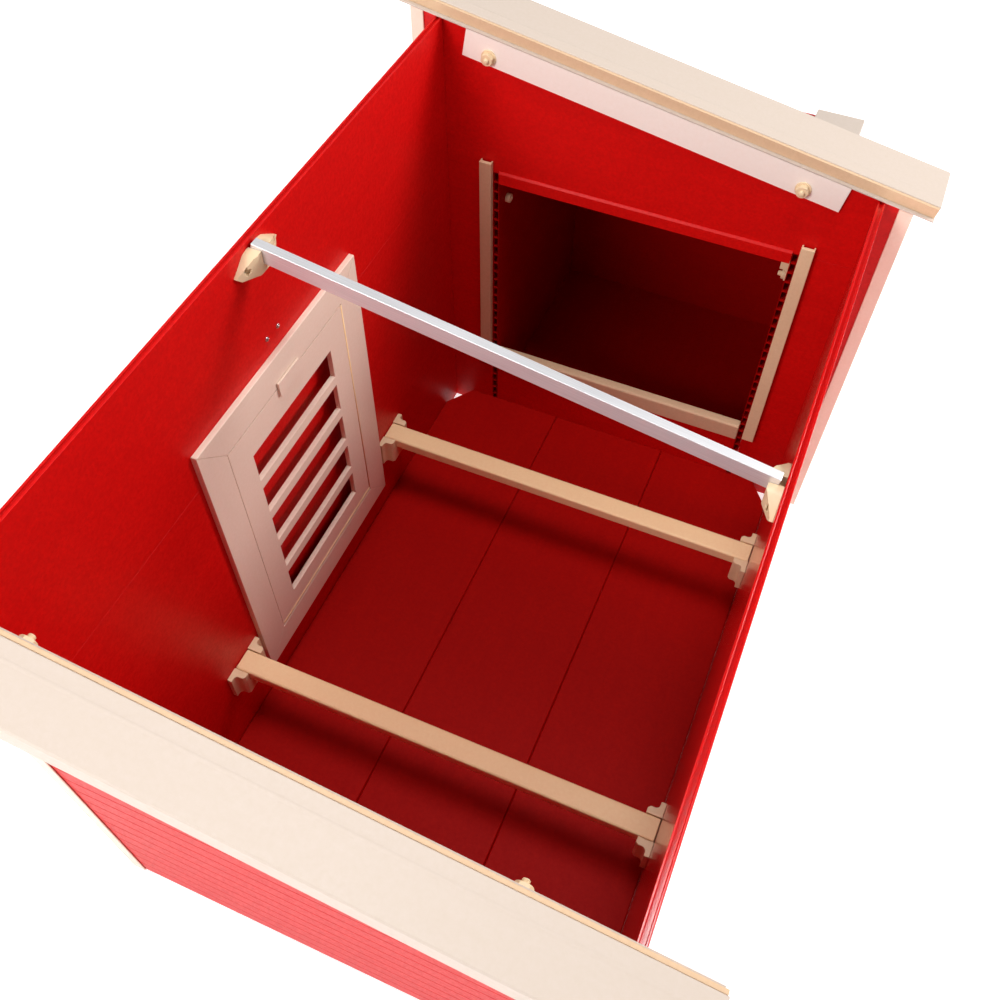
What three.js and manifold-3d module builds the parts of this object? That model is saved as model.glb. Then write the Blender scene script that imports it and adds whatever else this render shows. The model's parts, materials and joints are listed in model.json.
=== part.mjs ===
// Plastic chicken coop with a single-pitch top, nest box and pop door.
// Millimetres, +Z up. X runs from the door wall to the low wall, Y from the
// front wall to the nest box. The model is built about the middle of the room
// and moved at the end, so that the origin is the middle of the footprint.
import * as THREE from 'three';
import { mergeVertices } from 'three/addons/utils/BufferGeometryUtils.js';
import Module from 'manifold-3d';

// ---- driving dimensions ----
const GAP = 0.3; // play between pieces that touch
const ROOM_X = 386; // half of the room's inside width
const ROOM_Y = 616.5; // half of the room's inside depth
const WALL = 12; // thickness of the twin-wall planks
const WING = 441; // half length of the front and back walls
const COURSE = 660; // height of the lower course of planks
const MID_HEIGHT = 875.5; // wall top at the middle of the room
const ROOF_SLOPE = THREE.MathUtils.degToRad(9.65);
const FLOOR_TOP = 32;
const FLOOR_BOTTOM = 12;

const RIB_PITCH = 44; // spacing of the grooves on the outer skin
const RIB_DEPTH = 1.5;
const RIB_HALF = 1.5;
const TONGUE = 22; // depth of the plank's tongue and groove
const TONGUE_HALF = 2.6;
const GROOVE_HALF = 3;
const RIM_GROOVE = 3.5; // shallow groove along the side walls' top edges

const EAVE_WIDTH = { front: 85, back: 106 }; // outward from the wall's inner skin
const EAVE_TOP = 22; // top of the eave strip above the wall's top
const EAVE_RISER = 6; // where the strip steps up from its inner ledge
const EAVE_LEDGE = 2; // top of the ledge above the wall's top
const EAVE_BEAD = 30; // outer side of the raised bead beside the riser
const EAVE_FASCIA = 20; // how far the fascia hangs below the wall's top
const EAVE_LEG = 3; // how far the strip's outer leg hooks down over the wall
const EAVE_HALF = 484;
const CLEAT_HALF = 345;
const CLEAT_BOTTOM = 50; // cleat's lower edge below the wall's top
const CLEAT_THICK = 6;
const BOLT_DROP = 35; // bolts below the wall's top
const BOLT_X = [-297, 276];

const RAFTER_WIDTH = 15;
const RAFTER_HEIGHT = 26;
const RAFTER_DROP = 4; // rafter's top below the wall's top

const ROOST_Y = 287;
const ROOST_WIDTH = 40;
const ROOST_THICK = 24.6;
const ROOST_TOP = 225;

const DOOR_HALF = 233; // half width of the door frame
const DOOR_BOTTOM = 102;
const DOOR_TOP = 731;
const DOOR_MEMBER = 58; // width of the frame's members
const DOOR_THICK = 10;
const LEAF_HALF = 173.5;
const LEAF_HINGE_Z = 169;
const LEAF_TOP = 671.5;
const VENT_HALF = 123; // half width of the leaf's opening
const VENT_BOTTOM = 212;
const VENT_TOP = 612;
const SLATS = 4;
const SLAT_HEIGHT = 20;
const POP_HALF = 150; // half width of the hole in the wall
const POP_BOTTOM = 184;

const RAMP_HALF = 172;
const RAMP_TOP = 690;
const RAMP_HINGE_Z = 156;
const LATCH_Z = 748;
const LATCH_THICK = 19;
const SCREW_HALF = 15.5; // half the distance between the latch plate's screws
const SCREW_Z = LATCH_Z + 14;
const BEAD_R = 6; // round edge bead of the ramp and the lid
const SOCKET_R = 6.6; // inside of the hinge rail's socket
const SOCKET_WALL = 3;

const NEST_HALF = 280; // half of the nest's inside width
const NEST_DEPTH = 494;
const NEST_SLOPE = THREE.MathUtils.degToRad(12.5);
const LID_HALF = 317;
const LID_TRIM = 97;
const LID_LENGTH = 510;
const LID_TRIM_RISE = 13; // top of the lid's side trims above its panel
const LID_HINGE_Y = ROOM_Y + WALL + 12;
const LID_HINGE_Z = 706;
const THRESHOLD = 160;
const LINTEL_TOP = COURSE + 4; // raised band along the top of the nest's opening
const LINTEL_PROUD = 4;
const CELLS = 30; // cells in the cut end of a nest side
const BOLT_Y = ROOM_Y + WALL + 26; // bolts near the top of the nest's sides
const NEST_BOLT_Z = 580;

const RAIL_WIDTH = 24;
const RAIL_DEPTH = 12;
const RAIL_BOTTOM = 167;
const RAIL_TOP = 684;
const TRIM_WIDTH = 24;

// ---- colours ----
const RED = { color: 0xb8100f, roughness: 0.38, metalness: 0 };
const CREAM = { color: 0xeadfce, roughness: 0.5, metalness: 0 };
const BEIGE = { color: 0xd9c29a, roughness: 0.5, metalness: 0 };
const ALUMINIUM = { color: 0xd5d3d8, roughness: 0.3, metalness: 1 };
const STEEL = { color: 0xb9b9bd, roughness: 0.3, metalness: 1 };

// ---- solids ----
const wasm = await Module();
wasm.setup();

function toSolid(geometry) {
  const plain = geometry.clone();
  plain.deleteAttribute('normal');
  plain.deleteAttribute('uv');
  const merged = mergeVertices(plain, 1e-4);
  return new wasm.Manifold(new wasm.Mesh({
    numProp: 3,
    vertProperties: Float32Array.from(merged.attributes.position.array),
    triVerts: Uint32Array.from(merged.index.array),
  }));
}

function toGeometry(solid) {
  const mesh = solid.getMesh();
  const geometry = new THREE.BufferGeometry();
  geometry.setAttribute('position', new THREE.BufferAttribute(mesh.vertProperties, 3));
  geometry.setIndex(new THREE.BufferAttribute(mesh.triVerts, 1));
  geometry.computeVertexNormals();
  return geometry;
}

function cut(geometry, ...tools) {
  let solid = toSolid(geometry);
  for (const tool of tools) solid = solid.subtract(toSolid(tool));
  return toGeometry(solid);
}

function join(geometry, ...others) {
  let solid = toSolid(geometry);
  for (const other of others) solid = solid.add(toSolid(other));
  return toGeometry(solid);
}

function shapeOf(points) {
  return new THREE.Shape(points.map(([a, b]) => new THREE.Vector2(a, b)));
}

function extrude(shape, depth) {
  return new THREE.ExtrudeGeometry(shape, { depth, bevelEnabled: false, curveSegments: 10 });
}

// A box between two corners.
function block(x0, x1, y0, y1, z0, z1) {
  const geometry = new THREE.BoxGeometry(x1 - x0, y1 - y0, z1 - z0);
  return geometry.translate((x0 + x1) / 2, (y0 + y1) / 2, (z0 + z1) / 2);
}

// A section in Y and Z, run along X.
function alongX(shape, x0, x1) {
  const turn = new THREE.Matrix4().makeBasis(
    new THREE.Vector3(0, 1, 0), new THREE.Vector3(0, 0, 1), new THREE.Vector3(1, 0, 0));
  return extrude(shape, x1 - x0).applyMatrix4(turn).translate(x0, 0, 0);
}

// A section in X and Z, run along Y.
function alongY(shape, y0, y1) {
  return extrude(shape, y1 - y0).rotateX(Math.PI / 2).translate(0, y1, 0);
}

// A section in X and Y, run along Z.
function alongZ(shape, z0, z1) {
  return extrude(shape, z1 - z0).translate(0, 0, z0);
}

// A round bar along X or Y, centred on a point.
function barX(radius, length, y, z, x = 0, sides = 20) {
  return new THREE.CylinderGeometry(radius, radius, length, sides)
    .rotateZ(Math.PI / 2).translate(x, y, z);
}

function barY(radius, length, x, z, y = 0, sides = 20) {
  return new THREE.CylinderGeometry(radius, radius, length, sides).translate(x, y, z);
}

// ---- assembly ----
const coop = new THREE.Group();
const roof = new THREE.Group(); // tilted frame whose z = 0 is the wall's top
roof.position.z = MID_HEIGHT;
roof.rotation.y = ROOF_SLOPE;
coop.add(roof);

function add(name, geometry, finish, parent = coop) {
  const mesh = new THREE.Mesh(geometry, new THREE.MeshStandardMaterial(finish));
  mesh.name = name;
  parent.add(mesh);
  return mesh;
}

function topAt(x) {
  return MID_HEIGHT - Math.tan(ROOF_SLOPE) * x;
}

// Plank wall section as [outward, height] points. The outward distance is
// counted from the inner skin. The outer skin has a V groove at every pitch,
// the top edge a groove of that depth and, where asked, the bottom edge a tongue.
function plankSection(bottom, top, { tongue = false, groove = TONGUE } = {}) {
  const middle = WALL / 2;
  const points = [[0, bottom]];
  if (tongue) {
    points.push([middle - TONGUE_HALF, bottom], [middle - TONGUE_HALF, bottom - TONGUE + 1]);
    points.push([middle + TONGUE_HALF, bottom - TONGUE + 1], [middle + TONGUE_HALF, bottom]);
  }
  points.push([WALL, bottom]);
  const first = Math.floor(bottom / RIB_PITCH) + 1;
  for (let rib = first; rib * RIB_PITCH < top - RIB_HALF; rib += 1) {
    const z = rib * RIB_PITCH;
    points.push([WALL, z - RIB_HALF], [WALL - RIB_DEPTH, z], [WALL, z + RIB_HALF]);
  }
  points.push([WALL, top]);
  if (groove > 0) {
    points.push([middle + GROOVE_HALF, top], [middle + GROOVE_HALF, top - groove]);
    points.push([middle - GROOVE_HALF, top - groove], [middle - GROOVE_HALF, top]);
  }
  points.push([0, top]);
  return points;
}

function wallX(side, x0, x1, bottom, top, options) {
  const points = plankSection(bottom, top, options);
  return alongX(shapeOf(points.map(([out, z]) => [side * (ROOM_Y + out), z])), x0, x1);
}

function wallY(side, bottom, top, options) {
  const points = plankSection(bottom, top, options);
  const shape = shapeOf(points.map(([out, z]) => [side * (ROOM_X + out), z]));
  return alongY(shape, -ROOM_Y + GAP, ROOM_Y - GAP);
}

// Everything above the sloping line of the wall tops.
function aboveRoof() {
  const tool = new THREE.BoxGeometry(1200, 1600, 400).translate(0, 0, 200);
  return tool.rotateY(ROOF_SLOPE).translate(0, 0, MID_HEIGHT);
}

// ---- floor ----
function addFloor() {
  const width = (2 * ROOM_X) / 3;
  const names = ['floor_plank_left', 'floor_plank_middle', 'floor_plank_right'];
  const chamfer = 2;
  names.forEach((name, index) => {
    const x0 = -ROOM_X + index * width + GAP;
    const x1 = x0 + width - 2 * GAP;
    const section = shapeOf([
      [x0, FLOOR_BOTTOM], [x1, FLOOR_BOTTOM], [x1, FLOOR_TOP - chamfer], [x1 - chamfer, FLOOR_TOP],
      [x0 + chamfer, FLOOR_TOP], [x0, FLOOR_TOP - chamfer],
    ]);
    let plank = alongY(section, -ROOM_Y + GAP, ROOM_Y - GAP);
    const side = index - 1;
    if (side !== 0) {
      // The outer planks have their back corner cut off.
      const corner = side * ROOM_X;
      const notch = shapeOf([
        [corner + side, ROOM_Y + 1], [corner + side, ROOM_Y - 62], [corner - side * 46, ROOM_Y + 1],
      ]);
      plank = cut(plank, alongZ(notch, 0, FLOOR_TOP + 10));
    }
    add(name, plank, RED);
  });
  for (const [name, side] of [['floor_bearer_front', -1], ['floor_bearer_back', 1]]) {
    const y = side * ROOST_Y;
    add(name, block(-ROOM_X + GAP, ROOM_X - GAP, y - 30, y + 30, 0, FLOOR_BOTTOM - GAP), CREAM);
  }
}

// ---- walls ----
function addWalls() {
  const popHole = block(-ROOM_X - 20, -ROOM_X + 5, -POP_HALF, POP_HALF, POP_BOTTOM, COURSE + 5);
  add('left_wall_lower', cut(wallY(-1, 0, COURSE), popHole), RED);
  const rim = { tongue: true, groove: RIM_GROOVE };
  const leftUpper = wallY(-1, COURSE + GAP, topAt(-ROOM_X) - 2, rim);
  add('left_wall_upper', cut(leftUpper, ...screwBores()), RED);
  add('right_wall_lower', wallY(1, 0, COURSE), RED);
  add('right_wall_upper', wallY(1, COURSE + GAP, topAt(ROOM_X + WALL) - 2, rim), RED);

  add('front_wall_lower', wallX(-1, -WING, WING, 0, COURSE), RED);
  const plain = { tongue: true, groove: 0 };
  const tall = COURSE + 320;
  const boltHoles = (side) => BOLT_X.map((x) => boltHole(x, side));
  add('front_wall_upper',
    cut(wallX(-1, -WING, WING, COURSE + GAP, tall, plain), aboveRoof(), ...boltHoles(-1)), RED);

  const outer = NEST_HALF + WALL + GAP;
  add('back_wall_left', wallX(1, -WING, -outer, 0, COURSE), RED);
  add('back_wall_right', wallX(1, outer, WING, 0, COURSE), RED);
  const sillWall = wallX(1, -NEST_HALF + GAP, NEST_HALF - GAP, 0, THRESHOLD, { groove: 0 });
  add('back_wall_threshold', sillWall, RED);
  const sideSlots = [-1, 1].map((side) => {
    const x = side * (NEST_HALF + WALL / 2);
    const half = WALL / 2 + GAP;
    return block(x - half, x + half, ROOM_Y - 1, ROOM_Y + WALL + 1, COURSE - 40, COURSE + 0.1);
  });
  const backUpper = join(wallX(1, -WING, WING, COURSE + GAP, tall, plain), lintel());
  add('back_wall_upper', cut(backUpper, aboveRoof(), ...sideSlots, ...boltHoles(1)), RED);
}

// Raised band on the room side of the back wall, over the nest's opening.
function lintel() {
  const face = ROOM_Y - LINTEL_PROUD;
  const bottom = COURSE - TONGUE + 1;
  return alongX(shapeOf([
    [face, bottom], [ROOM_Y + WALL / 2, bottom], [ROOM_Y + WALL / 2, LINTEL_TOP + 1],
    [ROOM_Y - 1, LINTEL_TOP + 1], [face, LINTEL_TOP - 3],
  ]), -NEST_HALF + GAP, NEST_HALF - GAP);
}

// Channel trims that cap the four free ends of the front and back walls.
function addEndTrims() {
  const words = { [-1]: ['front', 'left'], 1: ['back', 'right'] };
  const lip = 3;
  const web = 4;
  for (const wallSide of [-1, 1]) {
    for (const end of [-1, 1]) {
      const a = ROOM_Y - GAP;
      const b = ROOM_Y + WALL + GAP;
      const outline = [
        [WING + GAP, a], [WING + web - TRIM_WIDTH, a], [WING + web - TRIM_WIDTH, a - lip],
        [WING + web, a - lip], [WING + web, b + lip], [WING + web - TRIM_WIDTH, b + lip],
        [WING + web - TRIM_WIDTH, b], [WING + GAP, b],
      ];
      const section = shapeOf(outline.map(([x, y]) => [end * x, wallSide * y]));
      const top = topAt(end * WING) + 60;
      const below = aboveRoof().translate(0, 0, -EAVE_LEG - 2 * GAP);
      const strip = cut(alongZ(section, 0, top), below);
      add(`${words[wallSide][0]}_${words[end][1]}_trim`, strip, CREAM);
    }
  }
}

// ---- eaves ----
function boltHole(x, side) {
  const hole = barY(4.6, 60, x, -BOLT_DROP, side * ROOM_Y, 16);
  return hole.rotateY(ROOF_SLOPE).translate(0, 0, MID_HEIGHT);
}

function addEaves() {
  const skin = 4;
  const lip = CLEAT_THICK + GAP;
  for (const [word, side] of [['front', -1], ['back', 1]]) {
    const width = EAVE_WIDTH[word];
    // Section as [outward from the wall's inner skin, height over the wall's top].
    const section = [
      [-lip, EAVE_LEDGE - 3], [-GAP, EAVE_LEDGE - 3], [-GAP, GAP], [WALL + GAP, GAP],
      [WALL + GAP, -EAVE_LEG], [WALL + 3, -EAVE_LEG], [WALL + 3, EAVE_TOP - 6],
      [width - skin, EAVE_TOP - 6], [width - skin, -EAVE_FASCIA], [width, -EAVE_FASCIA],
      [width, EAVE_TOP - 2], [width - 2, EAVE_TOP], [EAVE_BEAD, EAVE_TOP],
      [EAVE_BEAD - 1.5, EAVE_TOP + 0.8], [EAVE_BEAD - 5, EAVE_TOP + 0.8], [EAVE_BEAD - 6.5, EAVE_TOP],
      [EAVE_RISER + 1, EAVE_TOP], [EAVE_RISER, EAVE_TOP - 1], [EAVE_RISER, EAVE_LEDGE], [-lip, EAVE_LEDGE],
    ];
    const shape = shapeOf(section.map(([out, z]) => [side * (ROOM_Y + out), z]));
    add(`${word}_eave_strip`, alongX(shape, -EAVE_HALF, EAVE_HALF), CREAM, roof);

    const a = side * (ROOM_Y - GAP);
    const b = side * (ROOM_Y - GAP - CLEAT_THICK);
    const top = EAVE_LEDGE - 3 - GAP;
    const board = block(-CLEAT_HALF, CLEAT_HALF, Math.min(a, b), Math.max(a, b), -CLEAT_BOTTOM, top);
    const holes = BOLT_X.map((x) => barY(4.6, 60, x, -BOLT_DROP, side * ROOM_Y, 16));
    add(`${word}_cleat`, cut(board, ...holes), CREAM, roof);

    BOLT_X.forEach((x, index) => {
      add(`${word}_cleat_bolt_${index + 1}`, bolt(x, side), BEIGE, roof);
    });
  }
}

// Plastic bolt through wall and cleat with its washer and hexagon nut, drawn
// tight as one piece: domed head outside, nut and thread end in the room.
function bolt(x, side) {
  const seat = CLEAT_THICK + 2 * GAP;
  const outside = -WALL - GAP;
  const tip = seat + 17;
  const profile = [
    [0, outside - 5], [5, outside - 5], [8.5, outside - 2], [8.5, outside], [4, outside], [4, seat],
    [14, seat], [14, seat + 2], [4, seat + 2], [4, tip - 1], [3, tip], [0, tip],
  ];
  const body = new THREE.LatheGeometry(profile.map(([r, h]) => new THREE.Vector2(r, h)), 16);
  const nut = new THREE.CylinderGeometry(11, 11, 9, 6).translate(0, seat + 6.4, 0);
  const whole = join(body, nut);
  if (side > 0) whole.rotateZ(Math.PI);
  return whole.translate(x, side * ROOM_Y, -BOLT_DROP);
}

// ---- rafter ----
function addRafter() {
  const half = ROOM_X / Math.cos(ROOF_SLOPE) - 6;
  const bar = new THREE.BoxGeometry(2 * half, RAFTER_WIDTH, RAFTER_HEIGHT);
  const bore = new THREE.BoxGeometry(2 * half + 2, RAFTER_WIDTH - 3, RAFTER_HEIGHT - 3);
  const tube = cut(bar, bore).translate(0, 0, -RAFTER_DROP - RAFTER_HEIGHT / 2);
  add('rafter', tube, ALUMINIUM, roof);

  for (const [name, side] of [['rafter_bracket_left', -1], ['rafter_bracket_right', 1]]) {
    add(name, rafterBracket(side), BEIGE);
  }
}

// Saddle bracket with an open slot for the rafter and a pointed wing with a
// countersunk hole on each side of the slot.
function rafterBracket(side) {
  const reach = 52;
  const slot = RAFTER_WIDTH / 2 + 0.6;
  const cheek = slot + 7;
  const top = topAt(side * ROOM_X) - RAFTER_DROP;
  const bottom = top - RAFTER_HEIGHT - 12;
  const middle = (top + bottom) / 2 + 2;
  const outline = shapeOf([
    [-reach, middle - 13], [-reach + 7, bottom], [-cheek, bottom - 4], [cheek, bottom - 4], [reach - 7, bottom],
    [reach, middle - 13], [cheek + 9, top - 10], [cheek, top - 8], [-cheek, top - 8], [-cheek - 9, top - 10],
  ]);
  const face = side * (ROOM_X - GAP);
  const inner = face - side * 21;
  const solid = alongX(outline, Math.min(face, inner), Math.max(face, inner));
  const slopes = [-1, 1].map((end) => {
    // Each wing thins from the cheek to its point.
    const wedge = shapeOf([
      [inner - side * 2, end * cheek], [inner - side * 2, end * (reach + 5)],
      [face - side * 5, end * (reach + 5)], [face - side * 5, end * (reach - 3)],
    ]);
    return alongZ(wedge, bottom - 5, top + 5);
  });
  const seat = new THREE.BoxGeometry(80, 2 * slot, RAFTER_HEIGHT + 40);
  seat.translate(0, 0, -RAFTER_DROP - RAFTER_HEIGHT - GAP + (RAFTER_HEIGHT + 40) / 2);
  seat.translate(side * ROOM_X, 0, 0).rotateY(ROOF_SLOPE).translate(0, 0, MID_HEIGHT);
  const holes = [-1, 1].map((end) => barX(4, 60, end * 33, middle - 9, side * ROOM_X, 16));
  const sinks = [-1, 1].map((end) => {
    const cone = new THREE.CylinderGeometry(9, 4, 6, 16).rotateZ(side * Math.PI / 2);
    return cone.translate(side * (ROOM_X - 10), end * 33, middle - 9);
  });
  return cut(solid, ...slopes, seat, ...holes, ...sinks);
}

// ---- roosts ----
function addRoosts() {
  for (const [word, side] of [['front', -1], ['back', 1]]) {
    const y = side * ROOST_Y;
    const end = ROOM_X - 1.5;
    const half = ROOST_WIDTH / 2;
    const round = 2.5;
    const base = ROOST_TOP - ROOST_THICK;
    const section = shapeOf([
      [y - half + round, base], [y + half - round, base], [y + half, base + round],
      [y + half, ROOST_TOP - round], [y + half - round, ROOST_TOP], [y - half + round, ROOST_TOP],
      [y - half, ROOST_TOP - round], [y - half, base + round],
    ]);
    add(`roost_bar_${word}`, alongX(section, -end, end), BEIGE);
    add(`roost_bracket_${word}_left`, roostBracket(-1).translate(0, y, 0), BEIGE);
    add(`roost_bracket_${word}_right`, roostBracket(1).translate(0, y, 0), BEIGE);
  }
}

// U bracket for a roost end: two horns with a stepped plan and a seat below.
function roostBracket(side) {
  const slot = ROOST_WIDTH / 2 + 1;
  const reach = 47;
  const depth = 27;
  const plan = [[0, -reach], [9, -reach], [9, -reach + 6]];
  const hollow = 7; // radius of the cove between the step and the horn's tip
  for (let step = 0; step <= 4; step += 1) {
    const angle = (step / 4) * (Math.PI / 2);
    plan.push([16 - hollow * Math.cos(angle), -reach + 13 - hollow + hollow * Math.sin(angle)]);
  }
  plan.push([depth - 4, -reach + 13], [depth, -reach + 17]);
  const mirrored = plan.map(([x, y]) => [x, -y]).reverse();
  const outline = shapeOf([...plan, ...mirrored].map(([x, y]) => [side * (ROOM_X - GAP - x), y]));
  const body = alongZ(outline, ROOST_TOP - 58, ROOST_TOP);
  const face = side * (ROOM_X + 5);
  const inner = side * (ROOM_X - depth - 5);
  const seat = block(
    Math.min(face, inner), Math.max(face, inner), -slot, slot, ROOST_TOP - ROOST_THICK - GAP, ROOST_TOP + 5);
  return cut(body, seat);
}

// ---- pop door ----
function addDoorFrame() {
  const a = -DOOR_HALF;
  const b = DOOR_HALF;
  const w = DOOR_MEMBER;
  const s = GAP / 2;
  const members = {
    door_frame_bottom: [
      [a + s, DOOR_BOTTOM], [b - s, DOOR_BOTTOM], [b - w - s, DOOR_BOTTOM + w], [a + w + s, DOOR_BOTTOM + w]],
    door_frame_top: [
      [a + s, DOOR_TOP], [b - s, DOOR_TOP], [b - w - s, DOOR_TOP - w], [a + w + s, DOOR_TOP - w]],
    door_frame_front: [
      [a, DOOR_BOTTOM + s], [a + w, DOOR_BOTTOM + w + s], [a + w, DOOR_TOP - w - s], [a, DOOR_TOP - s]],
    door_frame_back: [
      [b, DOOR_BOTTOM + s], [b - w, DOOR_BOTTOM + w + s], [b - w, DOOR_TOP - w - s], [b, DOOR_TOP - s]],
  };
  const pinBore = barY(3.2, 2 * (LEAF_HALF + 9), -ROOM_X + DOOR_THICK / 2 + GAP, LEAF_HINGE_Z, 0, 14);
  for (const [name, outline] of Object.entries(members)) {
    const member = alongX(shapeOf(outline), -ROOM_X + GAP, -ROOM_X + GAP + DOOR_THICK);
    const upright = name.endsWith('front') || name.endsWith('back');
    add(name, upright ? cut(member, pinBore) : member, CREAM);
  }
}

// Louvred inner leaf: a panel with a slatted opening, a catch tab at the top
// and two pins at the foot, on which it tips into the room.
function addVentLeaf() {
  const half = DOOR_THICK / 2;
  const x = -ROOM_X + half + GAP;
  const rounded = new THREE.Shape();
  rounded.moveTo(x - half + GAP, LEAF_TOP);
  rounded.lineTo(x - half + GAP, LEAF_HINGE_Z);
  rounded.absarc(x, LEAF_HINGE_Z, half - GAP, Math.PI, 2 * Math.PI, false);
  rounded.lineTo(x + half - GAP, LEAF_TOP);
  const panel = alongY(rounded, -LEAF_HALF, LEAF_HALF);
  const gap = (VENT_TOP - VENT_BOTTOM - SLATS * SLAT_HEIGHT) / (SLATS + 1);
  const windows = [];
  for (let index = 0; index <= SLATS; index += 1) {
    const z0 = VENT_BOTTOM + index * (gap + SLAT_HEIGHT);
    windows.push(block(x - 20, x + 20, -VENT_HALF, VENT_HALF, z0, z0 + gap));
  }
  const front = x + half - GAP;
  const tab = block(front - 3, front + 4.5, -31, 31, LEAF_TOP - 16, LEAF_TOP - 1);
  const hook = block(front + 1, front + 4.5, -31, 31, LEAF_TOP - 2, LEAF_TOP + 13);
  const pins = barY(2.8, 2 * (LEAF_HALF + 7), x, LEAF_HINGE_Z, 0, 14);
  add('vent_leaf', join(cut(panel, ...windows), tab, hook, pins), CREAM);
}

// Section of a round bead edge or of the open socket that holds it.
function socketSection(cx, cy, open, reach) {
  const shape = new THREE.Shape();
  const start = open + reach;
  const end = open - reach + 2 * Math.PI;
  shape.absarc(cx, cy, SOCKET_R + SOCKET_WALL, start, end, false);
  shape.absarc(cx, cy, SOCKET_R, end, start, true);
  return shape;
}

// Outer ramp door, hung by its bead in a hinge rail under the pop hole.
function addRamp() {
  const x = -ROOM_X - WALL - SOCKET_R - SOCKET_WALL - GAP - 2.5;
  const z = RAMP_HINGE_Z;
  const neck = 2;
  const board = 6;
  const points = [[x - neck, z], [x - neck, z + 14], [x - board, z + 18]];
  for (let edge = z + 44; edge < RAMP_TOP - 10; edge += RIB_PITCH) {
    points.push([x - board, edge - RIB_HALF], [x - board + RIB_DEPTH, edge], [x - board, edge + RIB_HALF]);
  }
  points.push([x - board, RAMP_TOP], [x + board, RAMP_TOP], [x + board, z + 18]);
  points.push([x + neck, z + 14], [x + neck, z]);
  const board3d = alongY(shapeOf(points), -RAMP_HALF, RAMP_HALF);
  add('ramp_door', join(board3d, barY(BEAD_R, 2 * RAMP_HALF, x, z, 0, 24)), RED);

  const opening = THREE.MathUtils.degToRad(143); // the way the socket faces
  const half = THREE.MathUtils.degToRad(80);
  const socket = alongY(socketSection(x, z, opening, half), -RAMP_HALF, RAMP_HALF);
  const plate = block(-ROOM_X - WALL - GAP - 3, -ROOM_X - WALL - GAP, -RAMP_HALF, RAMP_HALF, z - 34, z + 6);
  const web = block(x + SOCKET_R + 1, -ROOM_X - WALL - GAP - 1, -RAMP_HALF, RAMP_HALF, z - 6, z);
  add('ramp_hinge_rail', join(socket, plate, web), CREAM);
}

function screwBores() {
  return [-1, 1].map((end) => barX(2.3, 80, end * SCREW_HALF, SCREW_Z, -ROOM_X - WALL, 10));
}

// Turn button for the ramp, turned aside, on a base plate held by two screws.
function addLatch() {
  const wall = -ROOM_X - WALL - GAP;
  const z = LATCH_Z;
  const plate = block(wall - LATCH_THICK, wall, -26, 26, z - 20, z + 28);
  const pivotBore = barX(3.4, 60, 0, z - 6, wall, 14);
  add('latch_plate', cut(plate, pivotBore, ...screwBores()), BEIGE);

  const front = wall - LATCH_THICK - GAP;
  const pivot = z - 6;
  const outline = new THREE.Shape();
  outline.absarc(0, pivot, 13, Math.PI / 2, (3 * Math.PI) / 2, false);
  outline.lineTo(86, pivot - 9);
  outline.absarc(86, pivot, 9, (3 * Math.PI) / 2, (5 * Math.PI) / 2, false);
  const button = alongX(outline, front - 8, front);
  const head = barX(7, 3, 0, pivot, front - 9, 14);
  const pin = barX(3, 15, 0, pivot, front + 6, 14);
  add('latch_button', join(button, head, pin), BEIGE);

  [-1, 1].forEach((end, index) => {
    const profile = [[0, 0], [4, 0], [4, 1.4], [2.6, 2.6], [1.9, 2.6], [1.9, WALL + 12], [0, WALL + 13]];
    const screw = new THREE.LatheGeometry(profile.map(([r, h]) => new THREE.Vector2(r, h)), 12);
    screw.rotateZ(Math.PI / 2).translate(-ROOM_X + 2.6 + GAP, end * SCREW_HALF, SCREW_Z);
    add(`latch_screw_${index + 1}`, screw, STEEL);
  });
}

// ---- nest box ----
function lidUnderside(y) {
  return LID_HINGE_Z - 6 - Math.tan(NEST_SLOPE) * (y - LID_HINGE_Y);
}

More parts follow.
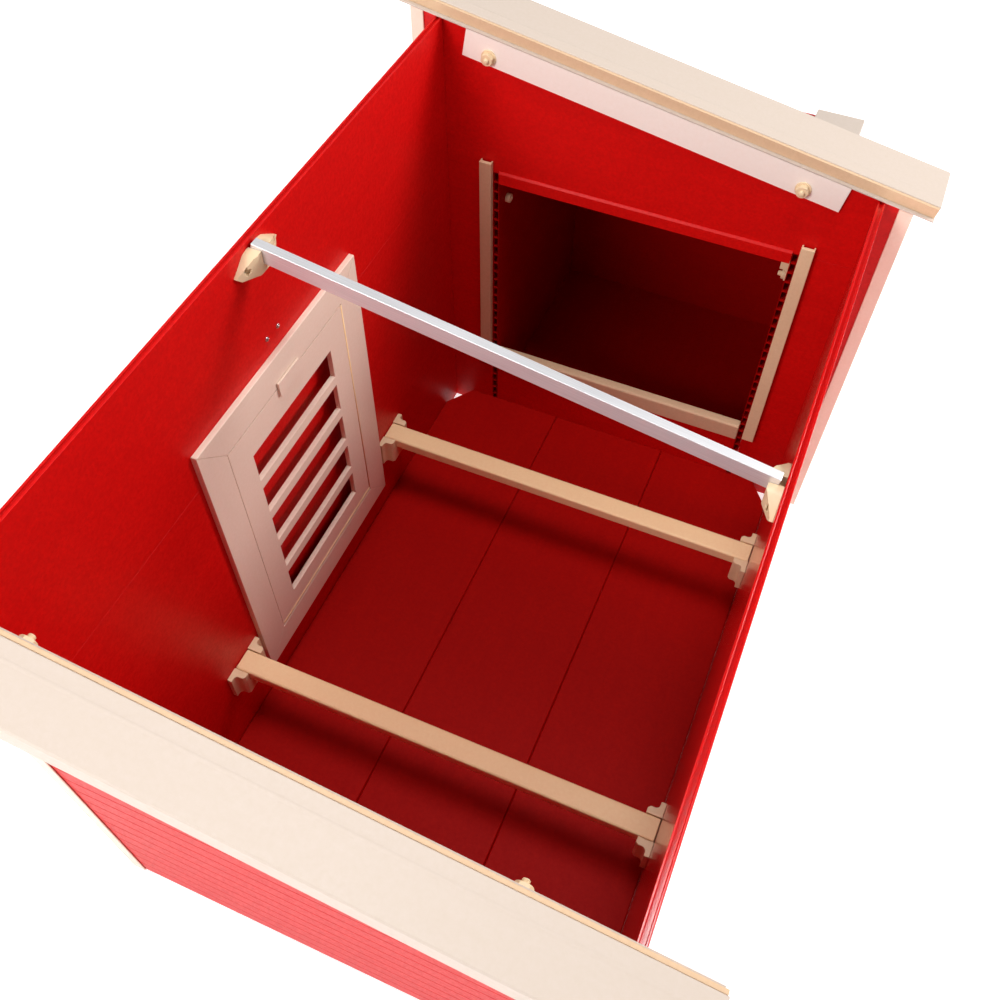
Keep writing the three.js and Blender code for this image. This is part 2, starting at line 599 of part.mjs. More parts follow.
function addNestBox() {
  const front = ROOM_Y;
  const back = ROOM_Y + WALL + NEST_DEPTH;
  const ledge = ROOM_Y + WALL + GAP;
  const outer = NEST_HALF + WALL;
  const hooked = LID_HINGE_Y + 24; // the sides step down in front of the hinge rail
  for (const [name, side] of [['nest_side_left', -1], ['nest_side_right', 1]]) {
    const outline = shapeOf([
      [front, 0], [back, 0], [back, lidUnderside(back) - GAP - 1], [hooked, lidUnderside(hooked) - GAP - 1],
      [hooked, COURSE + 2], [ledge, COURSE + 2], [ledge, COURSE], [front, COURSE],
    ]);
    const a = side * (NEST_HALF + GAP / 2);
    const b = side * (outer - GAP / 2);
    const panel = alongX(outline, Math.min(a, b), Math.max(a, b));
    const pitch = COURSE / CELLS;
    const cells = [];
    for (let cell = 0; cell < CELLS; cell += 1) {
      const x = side * (NEST_HALF + WALL / 2);
      cells.push(block(x - 4.4, x + 4.4, front - 5, front + 20, cell * pitch + 1.2, (cell + 1) * pitch - 1.2));
    }
    const boltBore = barX(4.6, 60, BOLT_Y, NEST_BOLT_Z, side * NEST_HALF, 14);
    add(name, cut(panel, ...cells, boltBore), RED);
    add(`nest_bolt_${name.split('_')[2]}`, nestBolt(side), BEIGE);
  }
  const inside = NEST_HALF - GAP;
  const rear = alongX(shapeOf([
    [back - WALL, 0], [back, 0], [back, lidUnderside(back) - GAP - 1],
    [back - WALL, lidUnderside(back - WALL) - GAP - 1],
  ]), -inside, inside);
  add('nest_back', rear, RED);
  add('nest_floor', block(-inside, inside, ledge, back - WALL - GAP, FLOOR_BOTTOM, FLOOR_TOP), RED);

  // Sill cap that straddles the threshold's top edge.
  const sill = shapeOf([
    [front - 5, THRESHOLD - 9], [front - GAP, THRESHOLD - 9], [front - GAP, THRESHOLD + GAP],
    [front + WALL + GAP, THRESHOLD + GAP], [front + WALL + GAP, THRESHOLD - 9],
    [front + WALL + 5, THRESHOLD - 9], [front + WALL + 5, THRESHOLD + 29], [front + WALL + 2, THRESHOLD + 32],
    [front - 2, THRESHOLD + 32], [front - 5, THRESHOLD + 29],
  ]);
  add('nest_sill', alongX(sill, -inside, inside), BEIGE);

  for (const [name, side] of [['nest_rail_left', -1], ['nest_rail_right', 1]]) {
    const x0 = outer + GAP;
    const x1 = x0 + RAIL_WIDTH;
    const face = ROOM_Y - GAP;
    const room = face - RAIL_DEPTH;
    const channel = shapeOf([
      [x0, room], [x1, room], [x1, face], [x1 - 3, face], [x1 - 3, face - 5],
      [x0 + 3, face - 5], [x0 + 3, face], [x0, face],
    ].map(([x, y]) => [side * x, y]));
    add(name, alongZ(channel, RAIL_BOTTOM, RAIL_TOP), BEIGE);
  }
}

// Plastic bolt through a nest side. The right one also holds an upright lug.
function nestBolt(side) {
  const reach = side > 0 ? 17 : 12;
  const bodyProfile = [
    [0, -WALL - 5], [8, -WALL - 5], [8, -WALL - GAP / 2], [4, -WALL - GAP / 2], [4, GAP], [9.5, GAP], [9.5, 9],
    [8.5, 10], [5, 10], [5, reach - 1], [4, reach], [0, reach],
  ];
  const body = new THREE.LatheGeometry(bodyProfile.map(([r, h]) => new THREE.Vector2(r, h)), 14);
  const backPlate = block(-9, 9, GAP, 4, -8, 44);
  const lug = block(-9, 9, GAP, 16, 16, 44);
  const whole = side > 0 ? join(body, backPlate, lug) : body;
  return whole.rotateZ(side * Math.PI / 2).translate(side * NEST_HALF, BOLT_Y, NEST_BOLT_Z);
}

// Lid with a bead along its front edge, hung in a rail on the back wall.
function addLid() {
  const hang = new THREE.Group();
  hang.position.set(0, LID_HINGE_Y, LID_HINGE_Z);
  hang.rotation.x = -NEST_SLOPE;
  coop.add(hang);
  const half = LID_HALF - LID_TRIM;
  const start = 16;
  const plate = [[0, -2], [start, -2], [start + 2, -6]];
  for (let edge = 80; edge < LID_LENGTH - 20; edge += RIB_PITCH) plate.push([edge, -6]);
  plate.push([LID_LENGTH, -6], [LID_LENGTH, 6]);
  for (let edge = LID_LENGTH - 34; edge > 40; edge -= RIB_PITCH) {
    plate.push([edge + RIB_HALF, 6], [edge, 6 - RIB_DEPTH], [edge - RIB_HALF, 6]);
  }
  plate.push([start + 2, 6], [start, 2], [0, 2]);
  const panel = alongX(shapeOf(plate), -half + GAP, half - GAP);
  add('nest_lid', join(panel, barX(BEAD_R, 2 * (half - GAP), 0, 0, 0, 24)), RED, hang);

  for (const [name, side] of [['nest_lid_trim_left', -1], ['nest_lid_trim_right', 1]]) {
    const a = side * half;
    const b = side * LID_HALF;
    const lip = side * (LID_HALF - 4);
    const top = 6 + LID_TRIM_RISE;
    const board = block(Math.min(a, b), Math.max(a, b), start + 2, LID_LENGTH, -6, top);
    const hollow = block(Math.min(a, b) + 4, Math.max(a, b) - 4, start + 6, LID_LENGTH - 4, -7, top - 5);
    const skirt = block(Math.min(lip, b), Math.max(lip, b), start + 22, LID_LENGTH, -24, -5);
    add(name, join(cut(board, hollow), skirt), CREAM, hang);
  }

  const open = THREE.MathUtils.degToRad(14);
  const grip = THREE.MathUtils.degToRad(55);
  const socket = alongX(socketSection(LID_HINGE_Y, LID_HINGE_Z, open, grip), -half, half);
  const wall = ROOM_Y + WALL + GAP;
  const plateBack = block(-half, half, wall, wall + 3, LID_HINGE_Z - 10, LID_HINGE_Z + 22);
  add('lid_hinge_rail', join(socket, plateBack), CREAM);
}

addFloor();
addWalls();
addEndTrims();
addEaves();
addRafter();
addRoosts();
addDoorFrame();
addVentLeaf();
addRamp();
addLatch();
addNestBox();
addLid();

// Move the origin to the middle of the footprint, at the ground.
coop.updateMatrixWorld(true);
const bounds = new THREE.Box3().setFromObject(coop, true);
const centre = bounds.getCenter(new THREE.Vector3());
coop.position.set(-centre.x, -centre.y, -bounds.min.z);

export default coop;
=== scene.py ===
"""Looks for the chicken coop: moulded edges, plastic and metal finishes, fixings, light and camera."""

import json
import math

import bmesh
import bpy
from mathutils import Euler, Matrix, Vector

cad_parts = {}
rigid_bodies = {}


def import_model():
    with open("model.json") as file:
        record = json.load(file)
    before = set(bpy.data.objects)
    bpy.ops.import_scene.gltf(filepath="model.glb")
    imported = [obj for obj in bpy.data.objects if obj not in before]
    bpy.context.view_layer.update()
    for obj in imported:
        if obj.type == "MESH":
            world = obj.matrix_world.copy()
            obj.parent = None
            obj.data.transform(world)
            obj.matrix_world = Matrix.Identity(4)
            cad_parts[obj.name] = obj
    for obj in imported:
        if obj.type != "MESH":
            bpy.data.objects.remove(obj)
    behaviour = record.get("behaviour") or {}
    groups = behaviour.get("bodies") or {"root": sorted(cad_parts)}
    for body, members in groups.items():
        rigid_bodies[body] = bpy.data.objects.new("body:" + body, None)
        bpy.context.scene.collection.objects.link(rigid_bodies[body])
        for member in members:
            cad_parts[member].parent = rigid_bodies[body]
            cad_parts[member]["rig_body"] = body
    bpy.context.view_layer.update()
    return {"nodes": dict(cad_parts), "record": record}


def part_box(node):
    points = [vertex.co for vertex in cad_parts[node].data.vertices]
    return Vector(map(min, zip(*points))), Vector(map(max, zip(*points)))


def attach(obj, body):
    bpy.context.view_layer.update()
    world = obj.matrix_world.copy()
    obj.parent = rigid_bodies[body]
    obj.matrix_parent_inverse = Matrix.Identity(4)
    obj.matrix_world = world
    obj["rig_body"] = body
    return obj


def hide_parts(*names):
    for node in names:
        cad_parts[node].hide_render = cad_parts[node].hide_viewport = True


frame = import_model()
NODES = frame["nodes"]
SLOT_OF = {row["node"]: row["material_slot"] for row in frame["record"]["subparts"]}

ROOF_SLOPE = math.radians(9.65)
NEST_SLOPE = math.radians(12.5)


# Materials

def node_tree(name):
    """A new material, its node tree and its Principled shader."""
    material = bpy.data.materials.new(name)
    material.use_nodes = True
    tree = material.node_tree
    return material, tree, tree.nodes["Principled BSDF"]


def add_node(tree, kind, **inputs):
    """A node of that kind with its input sockets set by name."""
    node = tree.nodes.new(kind)
    for name, value in inputs.items():
        node.inputs[name.replace("_", " ")].default_value = value
    return node


def grain_space(tree, along, stretch, turn):
    """Object coordinates squeezed along the piece's length, so that noise runs out into long grain."""
    coordinates = tree.nodes.new("ShaderNodeTexCoord")
    turned = tree.nodes.new("ShaderNodeMapping")
    turned.vector_type = "TEXTURE"
    turned.inputs["Rotation"].default_value = turn
    squeezed = tree.nodes.new("ShaderNodeMapping")
    scale = [1.0, 1.0, 1.0]
    scale["xyz".index(along)] = 1 / stretch
    squeezed.inputs["Scale"].default_value = scale
    tree.links.new(coordinates.outputs["Object"], turned.inputs["Vector"])
    tree.links.new(turned.outputs["Vector"], squeezed.inputs["Vector"])
    return squeezed.outputs["Vector"]


def noise(tree, vector, scale, detail=3.0, roughness=0.6):
    """The factor of a noise texture over that vector."""
    texture = add_node(tree, "ShaderNodeTexNoise", Scale=scale, Detail=detail, Roughness=roughness)
    tree.links.new(vector, texture.inputs["Vector"])
    return texture.outputs["Fac"]


def spread(tree, value, low, high, start=0.3, end=0.7):
    """value from start to end mapped to low to high."""
    mapped = tree.nodes.new("ShaderNodeMapRange")
    for name, number in (("From Min", start), ("From Max", end), ("To Min", low), ("To Max", high)):
        mapped.inputs[name].default_value = number
    tree.links.new(value, mapped.inputs["Value"])
    return mapped.outputs["Result"]


def mix_colours(tree, factor, first, second):
    """A colour mixed from first to second by factor; each may be a colour or a socket."""
    mix = tree.nodes.new("ShaderNodeMix")
    mix.data_type = "RGBA"
    tree.links.new(factor, mix.inputs["Factor"])
    for socket, colour in ((mix.inputs[6], first), (mix.inputs[7], second)):
        if isinstance(colour, bpy.types.NodeSocket):
            tree.links.new(colour, socket)
        else:
            socket.default_value = (*colour, 1)
    return mix.outputs[2]


def bump(tree, height, distance, strength=1.0, under=None):
    """A bump of that height on top of another one."""
    node = add_node(tree, "ShaderNodeBump", Strength=strength, Distance=distance)
    tree.links.new(height, node.inputs["Height"])
    if under is not None:
        tree.links.new(under, node.inputs["Normal"])
    return node.outputs["Normal"]


def extruded_plastic(name, light, dark, gloss, grain, shine, along, turn):
    """Extruded plastic with embossed wood grain along its length and a fine orange-peel skin."""
    material, tree, shader = node_tree(name)
    coordinates = tree.nodes.new("ShaderNodeTexCoord").outputs["Object"]
    lines = noise(tree, grain_space(tree, along, 30, turn), 700, 3)
    figure = noise(tree, grain_space(tree, along, 9, turn), 60, 4, 0.65)
    mottle = noise(tree, coordinates, 170, 4, 0.7)
    peel = noise(tree, coordinates, 900, 2)
    clouds = mix_colours(tree, spread(tree, mottle, 0, 1, 0.35, 0.7), light, dark)
    tint = mix_colours(tree, spread(tree, figure, 0, 0.5), clouds, dark)
    tree.links.new(tint, shader.inputs["Base Color"])
    tree.links.new(spread(tree, mottle, gloss - 0.04, gloss + 0.08), shader.inputs["Roughness"])
    skin = bump(tree, peel, 0.00003, 0.5)
    embossed = bump(tree, figure, grain * 3, 0.6, skin)
    tree.links.new(bump(tree, lines, grain, 0.5, embossed), shader.inputs["Normal"])
    shader.inputs["IOR"].default_value = 1.5
    shader.inputs["Specular IOR Level"].default_value = shine
    return material


def moulded_plastic(name, light, dark, gloss):
    """Injection-moulded plastic: an even spark-eroded skin with a slight cloud in the colour."""
    material, tree, shader = node_tree(name)
    coordinates = tree.nodes.new("ShaderNodeTexCoord").outputs["Object"]
    cloud = noise(tree, coordinates, 30, 3)
    skin = noise(tree, coordinates, 1500, 2)
    tree.links.new(mix_colours(tree, spread(tree, cloud, 0, 1), light, dark), shader.inputs["Base Color"])
    tree.links.new(spread(tree, skin, gloss - 0.04, gloss + 0.06), shader.inputs["Roughness"])
    tree.links.new(bump(tree, skin, 0.00004, 0.5), shader.inputs["Normal"])
    shader.inputs["IOR"].default_value = 1.48
    return material


def brushed_metal(name, light, dark, roughness, metallic, along, turn):
    """Metal with fine drawing lines along its length."""
    material, tree, shader = node_tree(name)
    lines = noise(tree, grain_space(tree, along, 120, turn), 1400, 3)
    patches = noise(tree, grain_space(tree, along, 5, turn), 14, 3)
    colour = mix_colours(tree, spread(tree, lines, 0, 1), light, dark)
    tree.links.new(colour, shader.inputs["Base Color"])
    tree.links.new(spread(tree, patches, roughness - 0.05, roughness + 0.08), shader.inputs["Roughness"])
    tree.links.new(bump(tree, lines, 0.00003, 0.5), shader.inputs["Normal"])
    shader.inputs["Metallic"].default_value = metallic
    return material


RED = (0.70, 0.005, 0.004)
RED_DARK = (0.54, 0.002, 0.002)
# Darker reds on the floor planks and inside the nest box: painted shade for the dim light deep in the room
# and under the lid
PAINTED_SHADE_FLOOR_RED = (0.42, 0.003, 0.001)
PAINTED_SHADE_FLOOR_RED_DARK = (0.33, 0.001, 0.001)
CREAM = (0.90, 0.72, 0.60)
CREAM_DARK = (0.86, 0.67, 0.54)
# A darker cream on the top-lit eave strips and lid trims and a paler one on the front-facing cleats: one
# cream plastic with painted shade and painted light
PAINTED_SHADE_EAVE_CREAM = (0.62, 0.52, 0.45)
PAINTED_SHADE_EAVE_CREAM_DARK = (0.60, 0.50, 0.42)
PAINTED_LIGHT_CREAM = (0.95, 0.86, 0.79)
PAINTED_LIGHT_CREAM_DARK = (0.92, 0.82, 0.74)
BEIGE = (0.84, 0.66, 0.43)
BEIGE_DARK = (0.78, 0.59, 0.36)
# A lighter beige on the roost bars: painted light for the direct light from above on them
PAINTED_LIGHT_ROOST_BEIGE = (0.98, 0.74, 0.44)
PAINTED_LIGHT_ROOST_BEIGE_DARK = (0.94, 0.68, 0.38)
# Gold for the strips on the louvred leaf: painted highlight lines along its back edge and foot
PAINTED_HIGHLIGHT_GOLD = (1.0, 0.72, 0.40)
PAINTED_HIGHLIGHT_GOLD_DARK = (0.94, 0.64, 0.33)
# A darker beige: painted shade on the nest sill and the left nest rail, and partly painted shade on the eave
# risers
SHADED_BEIGE = (0.72, 0.50, 0.32)
SHADED_BEIGE_DARK = (0.66, 0.45, 0.28)
ALUMINIUM = (0.90, 0.89, 0.91)
ALUMINIUM_DARK = (0.76, 0.75, 0.77)
STEEL = (0.80, 0.80, 0.82)
STEEL_DARK = (0.55, 0.55, 0.58)

ROOF_TURN = (0, ROOF_SLOPE, 0)
LID_TURN = (-NEST_SLOPE, 0, 0)

# By slot and tone: light and dark tint, roughness, depth of the embossed grain in metres, specular level
PLASTICS = {
    ("red_plastic", ""): (RED, RED_DARK, 0.42, 0.00010, 0.2),
    # floor: painted shade on the floor planks and the nest box
    ("red_plastic", "floor"): (PAINTED_SHADE_FLOOR_RED, PAINTED_SHADE_FLOOR_RED_DARK, 0.5, 0.00008, 0.07),
    ("red_plastic", "polished"): (RED, RED_DARK, 0.17, 0.00003, 0.6),
    ("cream_plastic", ""): (CREAM, CREAM_DARK, 0.42, 0.00005, 0.3),
    # eave and pale: one cream with painted shade on the eaves and painted light on the cleats
    ("cream_plastic", "eave"): (PAINTED_SHADE_EAVE_CREAM, PAINTED_SHADE_EAVE_CREAM_DARK, 0.45, 0.00004, 0.25),
    ("cream_plastic", "pale"): (PAINTED_LIGHT_CREAM, PAINTED_LIGHT_CREAM_DARK, 0.42, 0.00004, 0.3),
    ("beige_plastic", ""): (BEIGE, BEIGE_DARK, 0.42, 0.00006, 0.3),
    # roost: painted light on the roost bars
    ("beige_plastic", "roost"): (PAINTED_LIGHT_ROOST_BEIGE, PAINTED_LIGHT_ROOST_BEIGE_DARK, 0.45, 0.00008, 0.25),
    # the leaf's strips: painted highlight lines
    ("beige_plastic", "golden"): (PAINTED_HIGHLIGHT_GOLD, PAINTED_HIGHLIGHT_GOLD_DARK, 0.4, 0.00002, 0.3),
    # shaded: painted shade
    ("beige_plastic", "shaded"): (SHADED_BEIGE, SHADED_BEIGE_DARK, 0.5, 0.00005, 0.2),
}
# By slot: light and dark tint, roughness, metalness
METALS = {
    "aluminium": (ALUMINIUM, ALUMINIUM_DARK, 0.42, 0.6),
    "screw_steel": (STEEL, STEEL_DARK, 0.25, 1.0),
}
# The tone of each node that differs from its slot's own look
TONES = {
    "right_wall_lower": "polished", "right_wall_upper": "polished",
    # Floor planks and nest box in a darker red: painted shade
    "floor_plank_left": "floor", "floor_plank_middle": "floor", "floor_plank_right": "floor",
    "nest_floor": "floor", "nest_back": "floor", "nest_side_left": "floor", "nest_side_right": "floor",
    # Eave strips and lid trims darker, cleats paler: painted shade and painted light on one cream
    "front_eave_strip": "eave", "back_eave_strip": "eave",
    "nest_lid_trim_left": "eave", "nest_lid_trim_right": "eave",
    "front_cleat": "pale", "back_cleat": "pale",
    # Roost bars lighter: painted light
    "roost_bar_front": "roost", "roost_bar_back": "roost",
    # Nest sill and left nest rail darker: painted shade
    "nest_sill": "shaded", "nest_rail_left": "shaded",
}
MATERIALS = {}


def finish_for(slot, along, turn=(0, 0, 0), tone=""):
    """The material of a slot, with its grain along one axis; made once for each direction and tone."""
    key = (slot, along, turn, tone)
    if key in MATERIALS:
        return MATERIALS[key]
    name = f"{slot}_{along}" + ("_sloped" if any(turn) else "") + ("_" + tone if tone else "")
    if slot in METALS:
        made = brushed_metal(name, *METALS[slot], along, turn)
    elif along == "all":
        made = moulded_plastic(name, *PLASTICS[slot, tone][:3])
    else:
        made = extruded_plastic(name, *PLASTICS[slot, tone], along, turn)
    MATERIALS[key] = made
    return made


# Pieces made from the frame

def new_mesh(name, work):
    """The bmesh written to a new mesh, and freed."""
    mesh = bpy.data.meshes.new(name)
    work.to_mesh(mesh)
    work.free()
    return mesh


def add_piece(name, mesh, node):
    """A piece with that mesh in the scene, which rides on the node's body."""
    piece = bpy.data.objects.new(name, mesh)
    bpy.context.scene.collection.objects.link(piece)
    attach(piece, NODES[node]["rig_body"])
    return piece


def round_edges(piece, width, segments):
    """A bevel on the piece's sharp edges, with normals that follow its flat faces."""
    edges = piece.modifiers.new("rounded edges", "BEVEL")
    edges.width = width
    edges.segments = segments
    normals = piece.modifiers.new("weighted normals", "WEIGHTED_NORMAL")
    normals.keep_sharp = True
    return edges


def finished(node, along, width=0.0005, turn=(0, 0, 0), segments=2):
    """Stands for a CAD node with its faces merged, its edges rounded and its finish on."""
    mesh = NODES[node].data.copy()
    mesh.name = node + "_finish"
    work = bmesh.new()
    work.from_mesh(mesh)
    bmesh.ops.remove_doubles(work, verts=work.verts, dist=0.000002)
    bmesh.ops.dissolve_limit(work, angle_limit=math.radians(0.5), verts=work.verts, edges=work.edges)
    for face in work.faces:
        face.smooth = True
    work.to_mesh(mesh)
    work.free()
    mesh.materials.clear()
    mesh.materials.append(finish_for(SLOT_OF[node], along, turn, TONES.get(node, "")))
    piece = add_piece(node + "_finish", mesh, node)
    edges = round_edges(piece, width, segments)
    edges.limit_method = "ANGLE"
    edges.angle_limit = math.radians(32)
    edges.use_clamp_overlap = True
    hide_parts(node)


for node in (
    "floor_plank_left", "floor_plank_middle", "floor_plank_right", "nest_floor",
    "left_wall_lower", "left_wall_upper", "right_wall_lower", "right_wall_upper",
):
    finished(node, "y")
for node in (
    "front_wall_lower", "front_wall_upper", "back_wall_left", "back_wall_right",
    "back_wall_threshold", "back_wall_upper", "nest_back",
):
    finished(node, "x")
for node in ("nest_side_left", "nest_side_right", "ramp_door"):
    finished(node, "y")
finished("nest_lid", "x", turn=LID_TURN)

for node in ("front_left_trim", "front_right_trim", "back_left_trim", "back_right_trim"):
    finished(node, "z", 0.0015)
for node in ("front_eave_strip", "back_eave_strip", "front_cleat", "back_cleat"):
    finished(node, "x", 0.0012, ROOF_TURN)
for node in ("floor_bearer_front", "floor_bearer_back", "lid_hinge_rail"):
    finished(node, "x")
for node in ("door_frame_bottom", "door_frame_top"):
    finished(node, "y", 0.0012)
for node in ("door_frame_front", "door_frame_back"):
    finished(node, "z", 0.0012)
finished("vent_leaf", "y", 0.0012)
finished("ramp_hinge_rail", "y")
for node in ("nest_lid_trim_left", "nest_lid_trim_right"):
    finished(node, "y", 0.0012, LID_TURN)

for node in ("roost_bar_front", "roost_bar_back", "nest_sill"):
    finished(node, "x", 0.002, segments=3)
for node in ("nest_rail_left", "nest_rail_right"):
    finished(node, "z", 0.0012)
for node in (
    "rafter_bracket_left", "rafter_bracket_right", "roost_bracket_front_left", "roost_bracket_front_right",
    "roost_bracket_back_left", "roost_bracket_back_right", "latch_plate", "latch_button",
    "nest_bolt_left", "nest_bolt_right",
):
    finished(node, "all", 0.001, segments=3)
finished("rafter", "x", 0.0008, ROOF_TURN)


# Thin gold strips along the louvred leaf's back edge and foot: painted highlights for the bright lines that
# light makes on those edges

HIGHLIGHT_STRIP_SUNK = 0.001
HIGHLIGHT_STRIP_PROUD = 0.0008
HIGHLIGHT_STRIP_ROUND = 0.0001


def painted_highlight_strip(name, low, high):
    """A gold strip let into the leaf's face between two corners, with its edges rounded: a painted highlight
    line.
    """
    work = bmesh.new()
    for x in (low[0], high[0]):
        for y in (low[1], high[1]):
            for z in (low[2], high[2]):
                work.verts.new((x, y, z))
    bmesh.ops.convex_hull(work, input=list(work.verts))
    bmesh.ops.dissolve_limit(work, angle_limit=0.01, verts=work.verts, edges=work.edges)
    bmesh.ops.bevel(
        work, geom=list(work.edges), offset=HIGHLIGHT_STRIP_ROUND, segments=2, affect="EDGES", clamp_overlap=True
    )
    for face in work.faces:
        face.smooth = True
    mesh = new_mesh(name, work)
    mesh.materials.append(finish_for("beige_plastic", "all", tone="golden"))
    add_piece(name, mesh, "vent_leaf")


LEAF_LOW, LEAF_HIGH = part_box("vent_leaf")
LEAF_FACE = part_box("door_frame_back")[1].x
LEAF_MIDDLE = (LEAF_LOW.y + LEAF_HIGH.y) / 2
painted_highlight_strip(
    "leaf_back_edge",
    (LEAF_FACE - HIGHLIGHT_STRIP_SUNK, LEAF_MIDDLE + 0.1716, LEAF_LOW.z + 0.0060),
    (LEAF_FACE + HIGHLIGHT_STRIP_PROUD, LEAF_MIDDLE + 0.1739, LEAF_HIGH.z - 0.014),
)
painted_highlight_strip(
    "leaf_foot_edge",
    (LEAF_FACE - HIGHLIGHT_STRIP_SUNK, LEAF_MIDDLE - 0.1720, LEAF_LOW.z + 0.0045),
    (LEAF_FACE + HIGHLIGHT_STRIP_PROUD, LEAF_MIDDLE + 0.1720, LEAF_LOW.z + 0.0060),
)


# Fixings

SIDES = 48  # points round each ring


def ringed_mesh(name, rings, sharp_degrees):
    """A closed mesh over rings of points along +Z, smooth where its faces meet flatter than that angle."""
    work = bmesh.new()
    made = [[work.verts.new(point) for point in ring] for ring in rings]
    for lower, upper in zip(made, made[1:]):
        for index in range(SIDES):
            after = (index + 1) % SIDES
            work.faces.new((lower[index], lower[after], upper[after], upper[index]))
    work.faces.new(list(reversed(made[0])))
    work.faces.new(made[-1])
    mesh = new_mesh(name, work)
    for polygon in mesh.polygons:
        polygon.use_smooth = True
    mesh.set_sharp_from_angle(angle=math.radians(sharp_degrees))
    return mesh


def ring_angles():
    """The angles of the points round a ring."""
    return [2 * math.pi * index / SIDES for index in range(SIDES)]


def turned(name, stations, outline):
    """A mesh of rings along +Z; outline(height, angle) is its radius, in metres."""
    rings = []
    for height, scale in stations:
        ring = []
        for angle in ring_angles():
            radius = scale * outline(height, angle)
            ring.append((radius * math.cos(angle), radius * math.sin(angle), height))
        rings.append(ring)
    return ringed_mesh(name, rings, 28)


def hexagon(size, angle):
    """Distance to the side of a hexagon whose corners are at size."""
    return size * math.cos(math.pi / 6) / math.cos((angle % (math.pi / 3)) - math.pi / 6)


BOLT_LENGTH = 0.0409
WASHER_AT = 0.0239  # heights along the bolt, from the crown of its head
NUT_AT = 0.0259
NUT_TOP = 0.0348


def bolt_outline(height, angle):
    """Outline of the plastic bolt with its head, washer, chamfered nut and threaded end."""
    if height < 0.005:
        return 0.0085 * math.sqrt(max(1 - (1 - height / 0.005) ** 2, 0.02))
    if height < WASHER_AT:
        return 0.004
    if height < NUT_AT:
        return 0.0138 - 0.0006 * (height > NUT_AT - 0.0004)
    if height < NUT_TOP:
        from_end = min(height - NUT_AT, NUT_TOP - height)
        return min(hexagon(0.0112, angle), 0.0098 + 0.9 * from_end)
    turns = (height - NUT_TOP) / 0.0016 - angle / (2 * math.pi)
    return 0.0048 - 0.0006 * abs(2 * (turns % 1) - 1)


def bolt_stations():
    """Heights at which the bolt's rings stand, doubled where its outline jumps."""
    tiny = 0.00001
    heights = [0.0002, 0.0006, 0.0012, 0.002, 0.003, 0.004, 0.005 - tiny, 0.005 + tiny]
    heights += [WASHER_AT - tiny, WASHER_AT + tiny, NUT_AT - 0.0005, NUT_AT - tiny, NUT_AT + tiny]
    heights += [NUT_AT + 0.0008, NUT_AT + 0.0016, NUT_TOP - 0.0016, NUT_TOP - 0.0008]
    heights += [NUT_TOP - 0.0003, NUT_TOP - tiny, NUT_TOP + tiny]
    step = 0.0002
    count = int((BOLT_LENGTH - 0.0012 - NUT_TOP) / step)
    heights += [NUT_TOP + step * (index + 1) for index in range(count)]
    rings = [(height, 1.0) for height in heights]
    return rings + [(BOLT_LENGTH - 0.0006, 0.85), (BOLT_LENGTH - 0.0001, 0.62)]


def place_fixing(node, mesh, axis, roll=0.0, tilt=0.0):
    """Stands a turned mesh in for a CAD fixing: its foot at the far end of the box, axis towards the room."""
    lowest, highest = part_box(node)
    middle = (lowest + highest) / 2
    letter = "xyz".index(axis[-1])
    sign = -1 if axis[0] == "-" else 1
    foot = middle.copy()
    foot[letter] = lowest[letter] if sign > 0 else highest[letter]
    direction = Vector((0, 0, 0))
    direction[letter] = sign
    aim = direction.to_track_quat("Z", "Y").to_matrix().to_4x4()
    slope = Matrix.Rotation(tilt, 4, "Y")
    mesh.transform(Matrix.Translation(foot) @ slope @ aim @ Matrix.Rotation(roll, 4, "Z"))
    piece = add_piece(node + "_finish", mesh, node)
    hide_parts(node)


for index, (node, axis) in enumerate((
    ("front_cleat_bolt_1", "+y"), ("front_cleat_bolt_2", "+y"),
    ("back_cleat_bolt_1", "-y"), ("back_cleat_bolt_2", "-y"),
)):
    shape = turned(node + "_finish", bolt_stations(), bolt_outline)
    shape.materials.append(finish_for(SLOT_OF[node], "all"))
    place_fixing(node, shape, axis, 0.35 + 0.6 * index, ROOF_SLOPE)


def screw_mesh(name, length):
    """A pan-head screw with a cross recess; its head is at the top of the mesh."""
    head = 0.004
    shank = 0.0019
    seat = length - 0.0026
    rim = length - 0.0016
    crown = 0.0012
    profile = [(shank, 0.0), (shank, seat), (head, seat), (head, rim)]
    for step in range(1, 6):
        rise = step * 0.26
        profile.append((head * math.cos(rise), rim + crown * math.sin(rise)))
    profile += [(0.0013, length - 0.0004), (0.0008, length - 0.0003), (0.0004, length - 0.0003)]
    rings = []
    for radius, height in profile:
        ring = []
        for angle in ring_angles():
            x, y = radius * math.cos(angle), radius * math.sin(angle)
            in_cross = min(abs(x), abs(y)) < 0.0004 and radius < 0.0024 and height > length - 0.0015
            ring.append((x, y, height - (0.001 if in_cross else 0)))
        rings.append(ring)
    return ringed_mesh(name, rings, 35)


for node in ("latch_screw_1", "latch_screw_2"):
    lowest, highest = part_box(node)
    shape = screw_mesh(node + "_finish", highest.x - lowest.x)
    shape.materials.append(finish_for(SLOT_OF[node], "x"))
    place_fixing(node, shape, "+x", 0.5)


# Beige strips on the risers of the eaves: partly the risers' own tan and partly painted shade on their
# shadowed ledge

RISER_INNER = 0.0002  # how far out from the wall, and how high over the roof line, a strip reaches
RISER_OUTER = 0.0058
RISER_FOOT = 0.0022
RISER_TOP = 0.0205
ROOF_LINE = 0.8755  # height of the roof line over the middle of the room


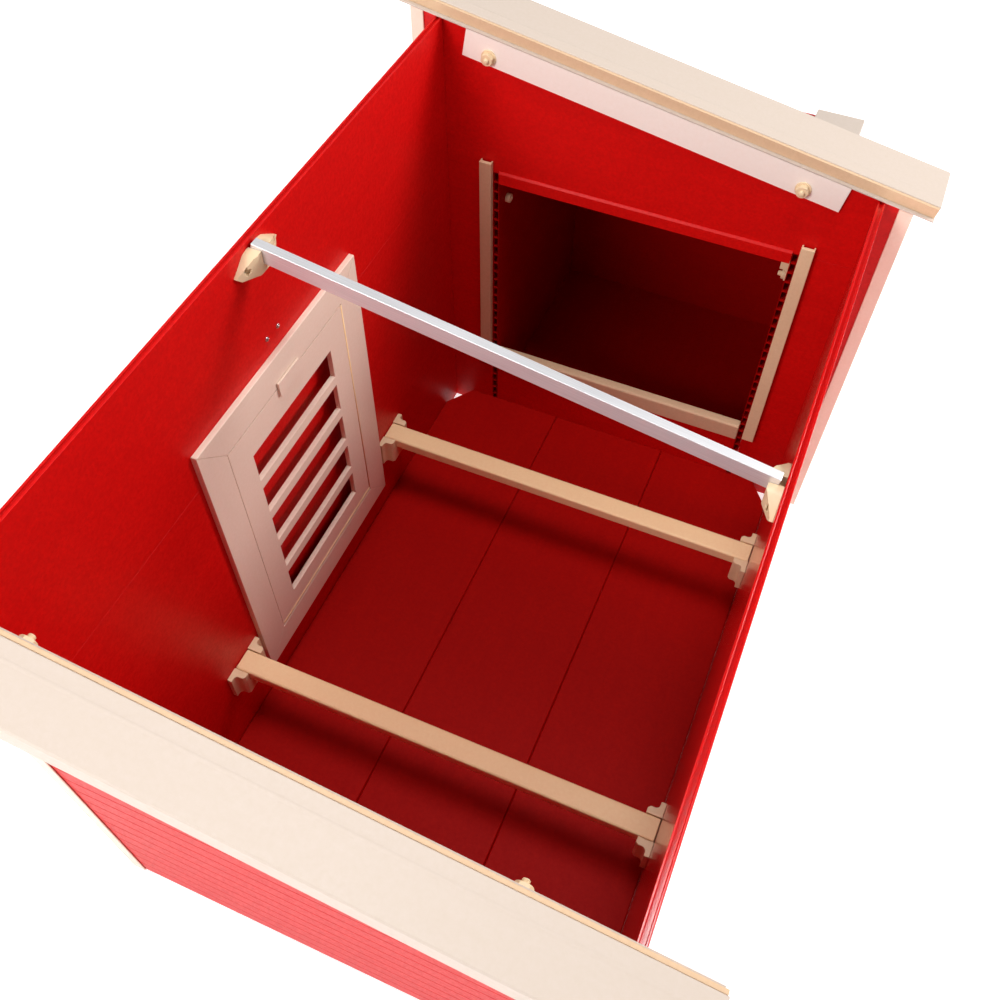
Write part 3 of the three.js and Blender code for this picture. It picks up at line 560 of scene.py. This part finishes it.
def riser_tint_and_painted_shade(node, side, wall):
    """A thin tan strip with rounded edges on an eave strip's riser, over its ledge; its tan is partly the
    riser's own and partly painted shade.
    """
    lowest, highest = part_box(node)
    half = (highest.x - lowest.x) / 2 / math.cos(ROOF_SLOPE) - 0.005
    corners = [
        (RISER_OUTER, RISER_FOOT), (RISER_OUTER, RISER_TOP),
        (RISER_INNER, RISER_TOP), (RISER_INNER, RISER_FOOT),
    ]
    work = bmesh.new()
    ends = []
    for x in (-half, half):
        ends.append([work.verts.new((x, wall + side * out, height)) for out, height in corners])
    work.faces.new(ends[0])
    work.faces.new(list(reversed(ends[1])))
    for index in range(4):
        after = (index + 1) % 4
        work.faces.new((ends[0][after], ends[0][index], ends[1][index], ends[1][after]))
    bmesh.ops.recalc_face_normals(work, faces=work.faces)
    mesh = new_mesh(node + "_riser_strip", work)
    front_low, front_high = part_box("front_wall_upper")
    middle = Matrix.Translation(((front_low.x + front_high.x) / 2, 0, ROOF_LINE))
    mesh.transform(middle @ Matrix.Rotation(ROOF_SLOPE, 4, "Y"))
    # Darker beige: partly the riser's own tan, partly painted shade
    mesh.materials.append(finish_for("beige_plastic", "x", ROOF_TURN, "shaded"))
    for polygon in mesh.polygons:
        polygon.use_smooth = True
    piece = add_piece(node + "_riser_strip", mesh, node)
    round_edges(piece, 0.0008, 3)


PLAY = 0.0003  # between the side walls' ends and the walls that carry the eaves
side_low, side_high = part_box("left_wall_upper")
riser_tint_and_painted_shade("front_eave_strip", -1, side_low.y - PLAY)
riser_tint_and_painted_shade("back_eave_strip", 1, side_high.y + PLAY)


# Floor, light and camera

def studio_floor():
    """A wide pale sheet on the ground."""
    work = bmesh.new()
    bmesh.ops.create_grid(work, x_segments=2, y_segments=2, size=12)
    mesh = new_mesh("studio_floor", work)
    material, _, shader = node_tree("studio_floor")
    shader.inputs["Base Color"].default_value = (0.95, 0.95, 0.95, 1)
    shader.inputs["Roughness"].default_value = 0.9
    shader.inputs["Emission Color"].default_value = (1, 1, 1, 1)
    shader.inputs["Emission Strength"].default_value = 0.5
    mesh.materials.append(material)
    floor = bpy.data.objects.new("studio_floor", mesh)
    bpy.context.scene.collection.objects.link(floor)


def softbox(name, place, target, size, watts):
    """A square area light at place that faces target."""
    data = bpy.data.lights.new(name, "AREA")
    data.shape = "SQUARE"
    data.size = size
    data.energy = watts
    lamp = bpy.data.objects.new(name, data)
    lamp.location = place
    lamp.rotation_euler = (Vector(target) - Vector(place)).to_track_quat("-Z", "Y").to_euler()
    bpy.context.scene.collection.objects.link(lamp)


def studio_world(wall, ceiling):
    """White studio walls round the horizon that fade to a dim ceiling."""
    made = bpy.data.worlds.new("studio")
    made.use_nodes = True
    tree = made.node_tree
    direction = tree.nodes.new("ShaderNodeTexCoord")
    parts = tree.nodes.new("ShaderNodeSeparateXYZ")
    tree.links.new(direction.outputs["Generated"], parts.inputs["Vector"])
    strength = spread(tree, parts.outputs["Z"], wall, ceiling, 0.2, 0.6)
    tree.links.new(strength, tree.nodes["Background"].inputs["Strength"])
    tree.nodes["Background"].inputs["Color"].default_value = (1, 1, 1, 1)
    return made


studio_floor()
softbox("back_right_box", (2.7, 1.7, 2.4), (-0.3, 0.0, 0.5), 1.3, 96)
softbox("front_left_box", (-1.3, -2.9, 2.6), (0.2, 0.4, 0.6), 1.3, 84)
softbox("top_box", (0.2, -0.3, 5.0), (0.0, 0.0, 0.3), 1.4, 105)

scene = bpy.context.scene
scene.world = studio_world(1.0, 0.04)
scene.view_settings.view_transform = "Standard"
scene.view_settings.look = "None"

CAMERA_PLACE = (0.3479, -1.0970, 1.8445)
CAMERA_TURN = (36.0186, -0.4792, 23.1195)
CAMERA_LENS = 36.606
camera = bpy.data.objects.new("camera", bpy.data.cameras.new("camera"))
camera.data.sensor_width = 36
camera.data.lens = CAMERA_LENS
camera.data.clip_start = 0.02
camera.location = CAMERA_PLACE
camera.rotation_euler = Euler([math.radians(angle) for angle in CAMERA_TURN])
scene.collection.objects.link(camera)
scene.camera = camera
